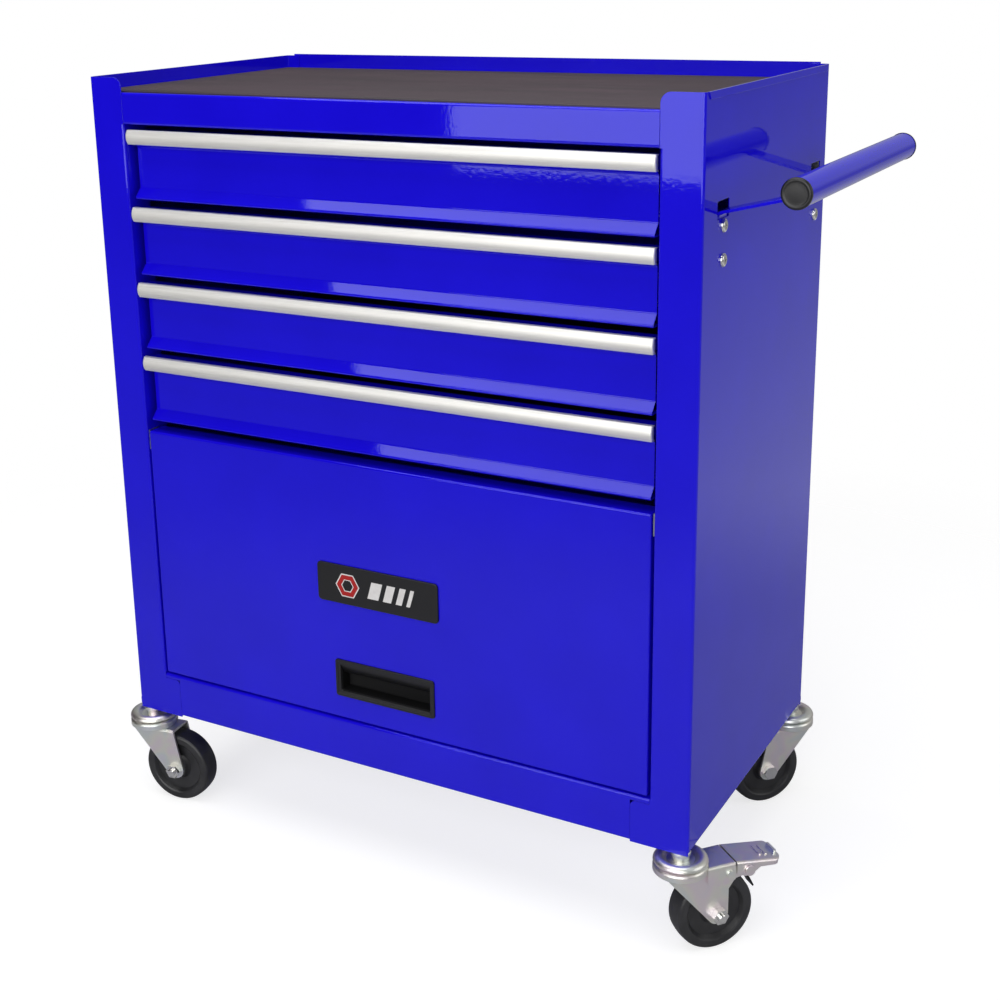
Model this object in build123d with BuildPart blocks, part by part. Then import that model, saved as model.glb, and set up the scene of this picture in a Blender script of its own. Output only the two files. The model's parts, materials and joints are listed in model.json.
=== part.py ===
from build123d import *

import os
from math import cos, radians, sin, tan

os.makedirs("parts", exist_ok=True)

# Four-drawer tool cart: folded sheet-steel cabinet on four swivel casters.
# Millimetres. +Z is up, the drawers face -Y, the side handle is on +X.
# The origin is on the floor, under the middle of the whole object's plan.

# ---------------------------------------------------------------- cabinet sizes
cab_w = 615.0            # across the outer faces of the side panels
cab_d = 322.0            # front faces of the posts to the back of the back panel
cab_h = 655.0            # bottom edge to the top of the side rims
sheet = 1.0              # cabinet and drawer steel
bend = 2.5               # outside radius of a normal fold
foot_bend = 5.0          # outside radius of the fold along the bottom of a side
fit = 0.3                # gap between painted sheets that butt together
fold_room = 0.5          # gap that clears the inside of a fold
overlap = 1.0            # how far a cut or a joined block runs past a face
near = 0.1               # tolerance for picking an edge by its place
post_w = 37.0            # front flange of a side panel
post_return = 30.0       # depth of the flange behind the post, which carries the slides
post_top_r = 9.0         # rounded inner top corner of a post
foot_tab_w = 18.0        # tab of the post that runs under the door
foot_tab_h = 41.0
foot_tab_r = 5.0
rear_flange = 16.0
bottom_flange = 24.0
corner_relief = 14.0     # height left open at the foot of the rear flange
hem_h = 6.0              # outward hem along the side rims
hem_front = 5.0          # where the hem starts, behind the post face
hem_slope = 4.0          # its slanted front end
hem_back = 9.0           # relief at the rear corners
back_rim_rise = 1.5      # how far the back rim stands above the side rims
deck_drop = 14.0         # deck below the side rims
rail_h = 29.5            # rail across the front under the deck
rail_return = 14.0
skirt_h = 46.0           # panel under the door
skirt_return = 20.0
floor_upstand = 15.0
mat_t = 1.6
mat_gap = 3.0
mat_front = 6.0
mat_r = 4.0

# ---------------------------------------------------------------- drawer sizes
drawer_count = 4
drawer_h = 66.0          # top of the handle to the foot of the flared face
drawer_gap = 7.5         # foot of one drawer to the handle of the next
first_drawer_gap = 5.0   # rail to the top of the first handle
front_side_gap = 5.0     # opening edge to the end of the drawer face
face_in = 12.0           # drawer face behind the post face
flare_in = 2.5           # foot of the flare behind the post face
flare_h = 10.5
foot_lip = 6.5           # foot of the flare, turned back under the face
front_lip = 3.2          # plate behind the handle, behind the post face
front_top_d = 20.0       # depth of the ledge on top of the drawer face
front_hem = 13.0
front_bend = 1.6
ledge_drop = 0.8         # ledge of the drawer face below the top of the handle
face_start = 3.5         # set-back face starts this far below the handle
handle_h = 13.5
handle_end_gap = 2.5     # opening edge to the end of the aluminium handle
handle_bulge = 2.4
handle_lip = 1.2
handle_edge = 0.4        # edges of the crowned face behind the post face
handle_hook = 1.6        # how far the handle hooks back over the ledge
handle_end_r = 1.8       # rounded ends of the crowned face
tray_top = 14.0          # rim of the tray below the top of the handle
tray_lift = 3.0          # bottom of the tray above the foot of the face
tray_side_gap = 13.0     # opening edge to the tray, the room for a slide
tray_back_gap = 24.0
liner_t = 1.2
liner_gap = 2.0
slide_t = 1.2
slide_h = 28.0
slide_depth = 9.5
slide_mid = 38.0         # middle of the slide below the top of the handle
slide_inner_h = 22.0
slide_inner_depth = 8.5
slide_back_gap = 14.0
slide_post_w = 20.0      # flange of the upright that holds the slides at the rear

# ---------------------------------------------------------------- door sizes
door_top_gap = 10.0      # foot of the last drawer to the door
door_gap = 2.0           # over the skirt
door_side_gap = 2.5
door_back = 0.3          # door face behind the post face
door_flange = 20.0
door_bend = 2.0
hinge_pin_r = 2.5
hinge_clear = 0.06
hinge_down = 10.0        # pin below the top of the door
hinge_in = 10.0          # pin behind the post face
hinge_plate_t = 1.5
hinge_plate_w = 14.0
hinge_plate_h = 20.0
hinge_pin_l = 6.0
pull_w = 110.0
pull_h = 38.5
pull_rim = 5.0
pull_up = 43.0           # middle of the pull above the bottom of the door
pull_proud = 1.6
pull_r = 4.0             # corners of the pull
pull_edge_r = 1.0
pull_depth = 15.0
pull_wall = 1.5
strip_h = 12.0           # slanted strip across the top of the pull
strip_in = 5.0           # its lower edge behind the door face
strip_out = 1.2          # its upper edge in front of the door face
badge_w = 132.0
badge_h = 39.0
badge_t = 2.0
badge_r = 4.0
badge_edge_r = 0.6
badge_up = 10.0          # middle of the badge above the middle of the door
badge_left = 4.5         # badge is this far left of the cabinet's middle
catch_w = 30.0
catch_h = 11.0
catch_t = 1.5
catch_gap = 2.0          # plate of the catch behind the door flange
catch_lift = 4.0         # block of the catch over the door's bottom flange
catch_side = 2.0         # plate wider than the block on each side

# ---------------------------------------------------------------- side handle sizes
tube_out = 70.0          # tube axis outside the right side panel
tube_r = 12.0
tube_wall = 1.5
tube_front = 10.0        # front end behind the post face
tube_past = 3.0          # rear end past the back face
tube_drop = 74.0         # tube axis below the side rims
cap_over = 0.5           # cap wider than the tube all round
cap_t = 3.0
cap_plug = 12.0
cap_fit = 0.05           # plug of a cap inside the tube
cap_edge_r = 1.8
arm_w = 25.0
arm_t = 2.5
arm_drop = 98.0          # inner fold of the arm below the side rims
arm_plate_h = 50.0
arm_slope = 14.0         # degrees, rising away from the cabinet
arm_fold_r = 4.0
arm_front = 44.5         # middle of the front arm behind the post face
arm_rear_in = 32.0       # middle of the rear arm inside the back face
arm_slot_side = 1.0
arm_slot_h = 15.0
arm_slot_r = 1.5
arm_end = 2.0            # arm sheet stops this far short of the tube axis
screw_r = 2.0
screw_hole = 2.2
screw_head_r = 5.7
screw_head_h = 2.8
screw_edge_r = 2.0
screw_past = 3.0         # thread past the arm
cross_l = 5.0            # cross recess
cross_w = 1.1
cross_deep = 1.6
screw_drops = (108.0, 136.0)

# ---------------------------------------------------------------- caster sizes
stem_in_x = 10.0         # stem centre inside the side panel's face
stem_in_y = 8.0          # stem centre inside the front and back faces
stem_r = 4.0
stem_hole = 4.2
stem_up = 12.0
nut_af = 13.0
nut_h = 6.5
dish_r = 24.5
dish_drop = 9.6
collar_r = 9.0
king_r = 5.0
run_clear = 0.06         # round parts that turn in a hole
thread_fit = 0.03        # nuts round their threads
yoke_ring_top = 11.0     # below the cabinet's bottom edge
yoke_top = 19.0
yoke_t = 2.2
yoke_w = 29.0
yoke_back = 31.0
yoke_tip_r = 10.0
yoke_nose = 19.0         # leading corner of the fork ahead of the stem
yoke_fold_r = 3.0
yoke_plate = 46.0        # end of the top plate on a braked fork
ear_reach = 60.0         # pedal pin behind the stem
ear_r = 5.5              # ear round the pedal pin
ear_step = 1.2           # ear set down from the top plate
wheel_r = 37.5
wheel_w = 22.0
hub_gap = 0.2
hub_r = 12.0
trail = 30.7
wheel_room = 4.3         # tread to the underside of the fork's top
axle_r = 4.0
axle_end = 3.0           # thread past the nut
axle_chamfer = 0.7
bolt_head_h = 5.3
brake_room = 0.3         # cover and pedal clear of the fork on each side
brake_top = 14.1
brake_t = 2.0
brake_fold_r = 3.0
cover_foot = 34.0        # lowest edge of the brake cover below the cabinet
pedal_front = 47.0
pedal_l = 47.0
pedal_slope = 8.0        # degrees, falling towards the toe
pedal_toe_r = 9.0
toe_lip_h = 2.6
rib_w = 2.6              # ribs that a boot grips
rib_l = 16.0
rib_h = 1.0
pedal_pin_r = 3.0
pedal_pin_drop = 24.3
rivet_reach = 40.6
rivet_drop = 23.6
rivet_r = 2.0
rivet_head = 1.8
rivet_head_r = 3.5
pin_head_r = 4.8
leaf_w = 12.0
leaf_t = 1.5
leaf_gap = 5.5           # leaf clear of the tread
leaf_fold_r = 4.0

# ---------------------------------------------------------------- places worked out from the sizes
drawer_pitch = drawer_h + drawer_gap
tray_bottom = drawer_h - tray_lift
cap_r = tube_r + cap_over
tube_l = cab_d - tube_front + tube_past
arm_rear = cab_d - arm_rear_in
axle_drop = yoke_top + yoke_t + wheel_room + wheel_r
brake_w = yoke_w + 2 * brake_t + 2 * brake_room
left_reach = dish_r - stem_in_x
right_reach = tube_out + cap_r
x_left = left_reach - (left_reach + cab_w + right_reach) / 2
x_right = x_left + cab_w
x_mid = (x_left + x_right) / 2
y_front = -cab_d / 2
y_back = cab_d / 2
z_base = wheel_r + axle_drop
z_rim = z_base + cab_h
z_deck = z_rim - deck_drop
z_rail = z_deck - rail_h
z_skirt = z_base + skirt_h
z_door = z_skirt + door_gap
door_h = z_rail - first_drawer_gap - drawer_count * drawer_pitch + drawer_gap - door_top_gap - z_door
z_hinge = z_door + door_h - hinge_down
open_left = x_left + post_w
open_right = x_right - post_w
open_w = open_right - open_left
sheet_back = y_back - 2 * sheet - fit    # what fits inside the rear flanges ends here
tube_x = x_right + tube_out
tube_z = z_rim - tube_drop
middle = Plane.YZ.offset(x_mid)


def write(node, name):
    node.part.label = name
    export_step(node.part, "parts/" + name + ".step")


def at_y(y):
    """Upright plane facing the front, at y."""
    return Plane.XZ.offset(-y)


def at_x(x):
    """Upright plane facing +X, at x."""
    return Plane.YZ.offset(x)


def at_z(z):
    return Plane.XY.offset(z)


def folded(points, radius, thickness=sheet, side=Side.LEFT):
    """Section of a folded sheet whose outer face follows the points."""
    with BuildSketch(mode=Mode.PRIVATE) as section:
        with BuildLine():
            FilletPolyline(*points, radius=radius)
            offset(amount=thickness, side=side)
        make_face()
    return section.sketch


def block(x0, x1, y0, y1, z0, z1, mode=Mode.ADD):
    """Plain block between two corners, inside the current part."""
    with BuildSketch(at_z(z0), mode=Mode.PRIVATE) as plan:
        with Locations(((x0 + x1) / 2, (y0 + y1) / 2)):
            Rectangle(x1 - x0, y1 - y0)
    extrude(plan.sketch, amount=z1 - z0, mode=mode)


def stem_places(rows=(y_front + stem_in_y, y_back - stem_in_y)):
    return [(x, y) for x in (x_left + stem_in_x, x_right - stem_in_x) for y in rows]


# ---------------------------------------------------------------- cabinet shell
def side_panel(right):
    """Side sheet with its post, rear flange, bottom flange and hem."""
    post = [(x_left + rear_flange, y_back - sheet), (x_left, y_back - sheet),
            (x_left, y_front), (open_left, y_front)]
    with BuildPart() as panel:
        for z0, z1, path in ((z_base, z_skirt, post),
                             (z_skirt, z_rail, post + [(open_left, y_front + post_return)]),
                             (z_rail, z_rim, post)):
            with BuildSketch(at_z(z0)):
                add(folded(path, bend))
            extrude(amount=z1 - z0)
        # tab of the post under the door
        with BuildSketch(at_y(y_front + sheet)) as tab:
            with Locations((open_left + (foot_tab_w - bend) / 2, z_base + foot_tab_h / 2)):
                Rectangle(foot_tab_w + bend, foot_tab_h)
            fillet(tab.vertices().group_by(Axis.X)[-1].sort_by(Axis.Y)[-1], foot_tab_r)
        extrude(amount=sheet)
        # rounded fold and flange along the bottom
        y0 = y_front + sheet
        y1 = sheet_back
        block(x_left, x_left + sheet, y0, y1, z_base, z_base + 2 * foot_bend, Mode.SUBTRACT)
        with BuildSketch(at_y(y1)):
            add(folded([(x_left + bottom_flange, z_base), (x_left, z_base),
                        (x_left, z_base + 2 * foot_bend)], foot_bend, side=Side.RIGHT))
        extrude(amount=y1 - y0)
        # relief at the foot of the rear flange
        block(x_left + bend, x_left + rear_flange, y_back - 3 * sheet, y_back,
              z_base, z_base + corner_relief, Mode.SUBTRACT)
        # outward hem along the rim
        with BuildSketch(at_x(x_left - sheet)):
            with BuildLine():
                Polyline((y_front + hem_front, z_rim), (y_front + hem_front + hem_slope, z_rim - hem_h),
                         (y_back - hem_back, z_rim - hem_h), (y_back - hem_back, z_rim), close=True)
            make_face()
        extrude(amount=sheet)
        corner = panel.edges().filter_by(Axis.Y).filter_by_position(Axis.Z, z_rim - near, z_rim + near)
        corner = corner.filter_by_position(Axis.X, open_left - near, open_left + near)
        fillet(corner, post_top_r)
        with BuildSketch(at_z(z_base)):
            with Locations(*[(x, y) for x, y in stem_places() if x < x_mid]):
                Circle(stem_hole)
        extrude(amount=2 * sheet, mode=Mode.SUBTRACT)
        if right:
            mirror(about=middle, mode=Mode.REPLACE)
            with BuildSketch(at_x(x_right + sheet)):
                for y in (y_front + arm_front, y_front + arm_rear):
                    with Locations((y, z_rim - arm_drop + arm_slot_h / 2 - arm_fold_r - fit)):
                        RectangleRounded(arm_w + 2 * arm_slot_side, arm_slot_h, arm_slot_r)
                    for drop in screw_drops:
                        with Locations((y, z_rim - drop)):
                            Circle(screw_hole)
            extrude(amount=-3 * sheet, mode=Mode.SUBTRACT)
    return panel


write(side_panel(False), "side_panel_left")
write(side_panel(True), "side_panel_right")

with BuildPart() as back_panel:
    notch = x_left + hem_back
    with BuildSketch(at_y(y_back)):
        with BuildLine():
            Polyline((x_left + sheet, z_base + 2 * sheet + fit), (x_right - sheet, z_base + 2 * sheet + fit),
                     (x_right - sheet, z_deck), (x_right - hem_back, z_deck),
                     (x_right - hem_back, z_rim + back_rim_rise), (notch, z_rim + back_rim_rise),
                     (notch, z_deck), (x_left + sheet, z_deck), close=True)
        make_face()
    extrude(amount=sheet)
    with BuildSketch(at_y(y_back + sheet)):
        with Locations((x_mid, z_rim + back_rim_rise - hem_h / 2)):
            Rectangle(cab_w - 2 * hem_back, hem_h)
    extrude(amount=sheet)
write(back_panel, "back_panel")

with BuildPart() as top_panel:
    with BuildSketch(at_x(open_left + fit)):
        add(folded([(y_front + rail_return, z_rail), (y_front, z_rail), (y_front, z_deck),
                    (sheet_back, z_deck)], bend, side=Side.RIGHT))
    extrude(amount=open_w - 2 * fit)
    inset = sheet + fold_room
    block(x_left + inset, open_left + fit, y_front + inset, sheet_back, z_deck - sheet, z_deck)
    block(open_right - fit, x_right - inset, y_front + inset, sheet_back, z_deck - sheet, z_deck)
write(top_panel, "top_panel")

with BuildPart() as base_panel:
    z_floor = z_base + sheet
    floor_side = foot_bend + fit
    with BuildSketch(at_x(open_left + fit)):
        add(folded([(y_front + skirt_return, z_skirt), (y_front, z_skirt), (y_front, z_floor),
                    (sheet_back, z_floor), (sheet_back, z_floor + floor_upstand)], bend))
    extrude(amount=open_w - 2 * fit)
    for x0, x1 in ((x_left + floor_side, open_left + overlap), (open_right - overlap, x_right - floor_side)):
        block(x0, x1, y_front + sheet + fit, sheet_back, z_floor, z_floor + sheet)
    # room for the tabs of the posts
    for x0, x1 in ((open_left, open_left + foot_tab_w + fit), (open_right - foot_tab_w - fit, open_right)):
        block(x0, x1, y_front, y_front + sheet + fit, z_base, z_base + foot_tab_h + fit, Mode.SUBTRACT)
        block(x0, x1, y_front + sheet, y_front + bend + overlap, z_floor, z_floor + sheet)
    with BuildSketch(at_z(z_floor - sheet)):
        with Locations(*stem_places()):
            Circle(stem_hole)
    extrude(amount=3 * sheet, mode=Mode.SUBTRACT)
write(base_panel, "base_panel")

with BuildPart() as top_mat:
    with BuildSketch(at_z(z_deck)):
        mat_back = sheet_back - mat_gap
        with Locations((x_mid, (y_front + mat_front + mat_back) / 2)):
            RectangleRounded(cab_w - 2 * (sheet + mat_gap), mat_back - y_front - mat_front, mat_r)
    extrude(amount=mat_t)
write(top_mat, "top_mat")


# ---------------------------------------------------------------- drawer slides in the cabinet
def handle_top(i):
    """Top of the handle of drawer i, counted from the top."""
    return z_rail - first_drawer_gap - i * drawer_pitch


slide_y0 = y_front + front_top_d + sheet + fit
slide_y1 = y_back - slide_back_gap


def cabinet_slides(right):
    """Outer rails of one side, and the upright that holds their rear ends."""
    z_low = handle_top(drawer_count - 1) - slide_mid - slide_h
    z_high = handle_top(0) - slide_mid + slide_h
    with BuildPart() as slides:
        for i in range(drawer_count):
            zc = handle_top(i) - slide_mid
            x_in = open_left + slide_depth
            with BuildSketch(at_y(slide_y1)):
                add(folded([(x_in, zc + slide_h / 2), (open_left, zc + slide_h / 2),
                            (open_left, zc - slide_h / 2), (x_in, zc - slide_h / 2)], bend, slide_t))
            extrude(amount=slide_y1 - slide_y0)
        y0 = slide_y1 - slide_post_w
        with BuildSketch(at_z(z_low)):
            add(folded([(x_left + sheet, slide_y1), (open_left, slide_y1), (open_left, y0)],
                       bend, slide_t, Side.RIGHT))
        extrude(amount=z_high - z_low)
        if right:
            mirror(about=middle, mode=Mode.REPLACE)
    return slides


write(cabinet_slides(False), "cabinet_slides_left")
write(cabinet_slides(True), "cabinet_slides_right")


# ---------------------------------------------------------------- drawers
def drawer_front(top):
    """Folded face: hem, ledge, plate behind the handle, set-back face and flared foot."""
    x0 = open_left + front_side_gap
    ledge = top - ledge_drop
    path = [(y_front + front_top_d, ledge - front_hem), (y_front + front_top_d, ledge),
            (y_front + front_lip, ledge), (y_front + front_lip, top - handle_h + handle_lip + sheet + fit),
            (y_front + face_in, top - handle_h - face_start),
            (y_front + face_in, top - drawer_h + flare_h),
            (y_front + flare_in, top - drawer_h), (y_front + face_in + foot_lip, top - drawer_h)]
    with BuildPart() as front:
        with BuildSketch(at_x(x0)):
            add(folded(path, front_bend))
        extrude(amount=open_w - 2 * front_side_gap)
    return front


def drawer_handle(top):
    """Aluminium extrusion with a crowned face, hooked over the ledge and open below for fingers."""
    x0 = open_left + handle_end_gap
    seat = y_front + front_lip
    edge = y_front + handle_edge
    hook = seat + handle_hook
    ledge = top - ledge_drop
    low = top - handle_h
    with BuildPart() as handle:
        with BuildSketch(at_x(x0)):
            with BuildLine():
                Polyline((edge, low), (seat + handle_lip, low), (seat + handle_lip, low + handle_lip),
                         (seat, low + handle_lip), (seat, ledge), (hook, ledge), (hook, top), (edge, top))
                ThreePointArc((edge, top), (edge - handle_bulge, top - handle_h / 2), (edge, low))
            make_face()
        extrude(amount=open_w - 2 * handle_end_gap)
        fillet(handle.edges().filter_by(GeomType.CIRCLE), handle_end_r)
    return handle


tray_x0 = open_left + tray_side_gap
tray_x1 = open_right - tray_side_gap
tray_y0 = y_front + front_top_d
tray_y1 = y_back - tray_back_gap


def drawer_tray(top):
    """Open steel box."""
    with BuildPart() as tray:
        block(tray_x0, tray_x1, tray_y0, tray_y1, top - tray_bottom, top - tray_top)
        upright = tray.edges().filter_by(Axis.Z)
        fillet(upright, bend)
        with BuildSketch(at_z(top - tray_bottom + sheet)):
            with Locations(((tray_x0 + tray_x1) / 2, (tray_y0 + tray_y1) / 2)):
                RectangleRounded(tray_x1 - tray_x0 - 2 * sheet, tray_y1 - tray_y0 - 2 * sheet, bend - sheet)
        extrude(amount=tray_bottom, mode=Mode.SUBTRACT)
    return tray


def drawer_liner(top):
    with BuildPart() as liner:
        with BuildSketch(at_z(top - tray_bottom + sheet)):
            with Locations(((tray_x0 + tray_x1) / 2, (tray_y0 + tray_y1) / 2)):
                RectangleRounded(tray_x1 - tray_x0 - 2 * (sheet + liner_gap),
                                 tray_y1 - tray_y0 - 2 * (sheet + liner_gap), liner_gap)
        extrude(amount=liner_t)
    return liner


def drawer_slides(top):
    """Inner members, one on each side of the tray, running inside the cabinet's rails."""
    zc = top - slide_mid
    x_out = tray_x0 - slide_inner_depth
    with BuildPart() as slides:
        with BuildSketch(at_y(tray_y1 - bend)):
            add(folded([(x_out, zc + slide_inner_h / 2), (tray_x0, zc + slide_inner_h / 2),
                        (tray_x0, zc - slide_inner_h / 2), (x_out, zc - slide_inner_h / 2)],
                       bend, slide_t, Side.RIGHT))
        extrude(amount=tray_y1 - tray_y0 - 2 * bend)
        mirror(about=middle)
    return slides


for i in range(drawer_count):
    name = "drawer_" + str(i + 1)
    write(drawer_front(handle_top(i)), name + "_front")
    write(drawer_handle(handle_top(i)), name + "_handle")
    write(drawer_tray(handle_top(i)), name + "_tray")
    write(drawer_liner(handle_top(i)), name + "_liner")
    write(drawer_slides(handle_top(i)), name + "_slides")

# ---------------------------------------------------------------- lift-up door
door_x0 = open_left + door_side_gap
door_x1 = open_right - door_side_gap
door_y0 = y_front + door_back
pull_zc = z_door + pull_up
pull_hole_w = pull_w - 2 * pull_rim
pull_hole_h = pull_h - 2 * pull_rim

with BuildPart() as door_panel:
    block(door_x0, door_x1, door_y0, door_y0 + door_flange, z_door, z_door + door_h)
    rim = door_panel.faces().sort_by(Axis.Y)[0].edges() + door_panel.edges().filter_by(Axis.Y)
    fillet(rim, door_bend)
    offset(amount=-sheet, openings=door_panel.faces().sort_by(Axis.Y)[-1])
    with BuildSketch(at_y(door_y0 + 2 * sheet)):
        with Locations((x_mid, pull_zc)):
            Rectangle(pull_hole_w, pull_hole_h)
    extrude(amount=3 * sheet, mode=Mode.SUBTRACT)
    with BuildSketch(at_x(door_x0 - overlap)):
        with Locations((y_front + hinge_in, z_hinge)):
            Circle(hinge_pin_r + hinge_clear)
    extrude(amount=open_w, mode=Mode.SUBTRACT)
write(door_panel, "door_panel")

with BuildPart() as door_hinge_pins:
    block(open_left, open_left + hinge_plate_t, y_front + hinge_in - hinge_plate_w / 2,
          y_front + hinge_in + hinge_plate_w / 2, z_hinge - hinge_plate_h / 2, z_hinge + hinge_plate_h / 2)
    with BuildSketch(at_x(open_left + hinge_plate_t)):
        with Locations((y_front + hinge_in, z_hinge)):
            Circle(hinge_pin_r)
    extrude(amount=hinge_pin_l)
    mirror(about=middle)
write(door_hinge_pins, "door_hinge_pins")

with BuildPart() as door_pull:
    # rim plate, cup behind it, and a slanted upper strip with finger room behind it
    cup_w = pull_hole_w - 2 * fit
    cup_h = pull_hole_h - 2 * fit
    with BuildSketch(at_y(door_y0)):
        with Locations((x_mid, pull_zc)):
            RectangleRounded(pull_w, pull_h, pull_r)
    extrude(amount=pull_proud)
    edge = door_pull.faces().sort_by(Axis.Y)[0].edges()
    fillet(edge, pull_edge_r)
    with BuildSketch(at_y(door_y0 + pull_depth)):
        with Locations((x_mid, pull_zc)):
            Rectangle(cup_w, cup_h)
    extrude(amount=pull_depth)
    with BuildSketch(at_y(door_y0 + pull_depth - pull_wall)):
        with Locations((x_mid, pull_zc)):
            Rectangle(cup_w - 2 * pull_wall, cup_h - 2 * pull_wall)
    extrude(amount=pull_depth + pull_proud, mode=Mode.SUBTRACT)
    top_in = pull_zc + cup_h / 2
    with BuildSketch(at_x(x_mid - cup_w / 2)):
        with BuildLine():
            Polyline((door_y0 - strip_out, top_in), (door_y0 + strip_in, top_in - strip_h),
                     (door_y0 + strip_in + pull_wall, top_in - strip_h), (door_y0 + sheet + fit, top_in),
                     close=True)
        make_face()
    extrude(amount=cup_w)
write(door_pull, "door_pull")

with BuildPart() as door_badge:
    with BuildSketch(at_y(door_y0)):
        with Locations((x_mid - badge_left, z_door + door_h / 2 + badge_up)):
            RectangleRounded(badge_w, badge_h, badge_r)
    extrude(amount=badge_t)
    fillet(door_badge.faces().sort_by(Axis.Y)[0].edges(), badge_edge_r)
write(door_badge, "door_badge")

with BuildPart() as door_catch:
    # magnet block that reaches forward over the door's bottom flange, on an upright plate
    catch_y = door_y0 + door_flange + catch_gap
    catch_top = z_door + sheet + catch_lift + catch_h
    block(x_mid - catch_w / 2, x_mid + catch_w / 2, catch_y, catch_y + catch_t, z_base + 2 * sheet, catch_top)
    block(x_mid - catch_w / 2 + catch_side, x_mid + catch_w / 2 - catch_side, door_y0 + sheet + fit,
          catch_y + catch_t, catch_top - catch_h, catch_top)
write(door_catch, "door_catch")

# ---------------------------------------------------------------- side handle
with BuildPart() as handle_tube:
    with BuildSketch(at_y(y_front + tube_front + tube_l)):
        with Locations((tube_x, tube_z)):
            Circle(tube_r)
            Circle(tube_r - tube_wall, mode=Mode.SUBTRACT)
    extrude(amount=tube_l)
write(handle_tube, "handle_tube")

with BuildPart() as handle_end_caps:
    for y, out in ((y_front + tube_front, 1), (y_front + tube_front + tube_l, -1)):
        with BuildSketch(at_y(y)):
            with Locations((tube_x, tube_z)):
                Circle(cap_r)
        extrude(amount=out * cap_t)
        with BuildSketch(at_y(y)):
            with Locations((tube_x, tube_z)):
                Circle(tube_r - tube_wall - cap_fit)
        extrude(amount=-out * cap_plug)
    ends = handle_end_caps.faces().filter_by(Axis.Y).sort_by(Axis.Y)
    fillet(ends[0].edges() + ends[-1].edges(), cap_edge_r)
write(handle_end_caps, "handle_end_caps")

with BuildPart() as handle_brackets:
    inner = x_right - sheet
    fold_z = z_rim - arm_drop
    reach = tube_out + sheet - arm_end
    for y in (y_front + arm_front, y_front + arm_rear):
        with BuildSketch(at_y(y + arm_w / 2)):
            add(folded([(inner, fold_z - arm_plate_h), (inner, fold_z),
                        (inner + reach, fold_z + reach * tan(radians(arm_slope)))], arm_fold_r, arm_t))
        extrude(amount=arm_w)
    with BuildSketch(at_y(y_back)):
        with Locations((tube_x, tube_z)):
            Circle(tube_r)
    extrude(amount=cab_d, mode=Mode.SUBTRACT)
    block(tube_x, tube_x + tube_out, y_front, y_back, z_base, z_rim, Mode.SUBTRACT)
    with BuildSketch(at_x(x_right)):
        for y in (y_front + arm_front, y_front + arm_rear):
            with Locations(*[(y, z_rim - drop) for drop in screw_drops]):
                Circle(screw_hole)
    extrude(amount=-2 * sheet - arm_t, mode=Mode.SUBTRACT)
write(handle_brackets, "handle_brackets")

with BuildPart() as handle_screws:
    heads = [(y, z_rim - drop) for y in (y_front + arm_front, y_front + arm_rear) for drop in screw_drops]
    with BuildSketch(at_x(x_right)):
        with Locations(*heads):
            Circle(screw_head_r)
    extrude(amount=screw_head_h)
    fillet(handle_screws.faces().group_by(Axis.X)[-1].edges(), screw_edge_r)
    with BuildSketch(at_x(x_right)):
        with Locations(*heads):
            Circle(screw_r)
    extrude(amount=-sheet - arm_t - screw_past)
    # cross recess
    with BuildSketch(at_x(x_right + screw_head_h)):
        with Locations(*heads):
            Rectangle(cross_l, cross_w)
            Rectangle(cross_w, cross_l)
    extrude(amount=-cross_deep, mode=Mode.SUBTRACT)
write(handle_screws, "handle_screws")


# ---------------------------------------------------------------- casters
class Corner:
    """Planes of one caster: plan is level at the cabinet's bottom edge, with its x along the trail."""

    def __init__(self, x, y, degrees):
        t = (cos(radians(degrees)), sin(radians(degrees)), 0)
        self.plan = Plane(origin=(x, y, z_base), x_dir=t, z_dir=(0, 0, 1))
        self.side = Plane(origin=(x, y, z_base), x_dir=t, z_dir=(t[1], -t[0], 0))
        self.across = Plane(origin=(x, y, z_base), x_dir=(-t[1], t[0], 0), z_dir=t)


def outline(points):
    """Closed face through the points, in the current sketch plane."""
    with BuildSketch(mode=Mode.PRIVATE) as face:
        with BuildLine():
            Polyline(*points, close=True)
        make_face()
    return face.sketch


def caster_race(corner):
    """Threaded stem, collar, dished upper race and king pin, in one riveted unit."""
    rim = dish_r - 2
    pin_end = -yoke_top - yoke_t - fit
    pin_head_r = king_r + 3
    pin_head_h = 2.0
    with BuildPart() as race:
        with BuildSketch(corner.side):
            with BuildLine():
                Polyline((0, stem_up), (stem_r, stem_up), (stem_r, 0), (collar_r, 0), (collar_r, -3.5),
                         (7.0, -7.4), (12.5, -7.4), (16.0, -5.0))
                ThreePointArc((16.0, -5.0), (21.0, -4.3), (dish_r, -7.0))
                Polyline((dish_r, -7.0), (dish_r, -8.6), (rim, -dish_drop), (king_r, -dish_drop),
                         (king_r, pin_end), (pin_head_r, pin_end), (pin_head_r - 0.6, pin_end - pin_head_h),
                         (0, pin_end - pin_head_h), (0, stem_up))
            make_face()
        revolve(axis=Axis(corner.plan.origin, (0, 0, 1)))
    return race


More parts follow.
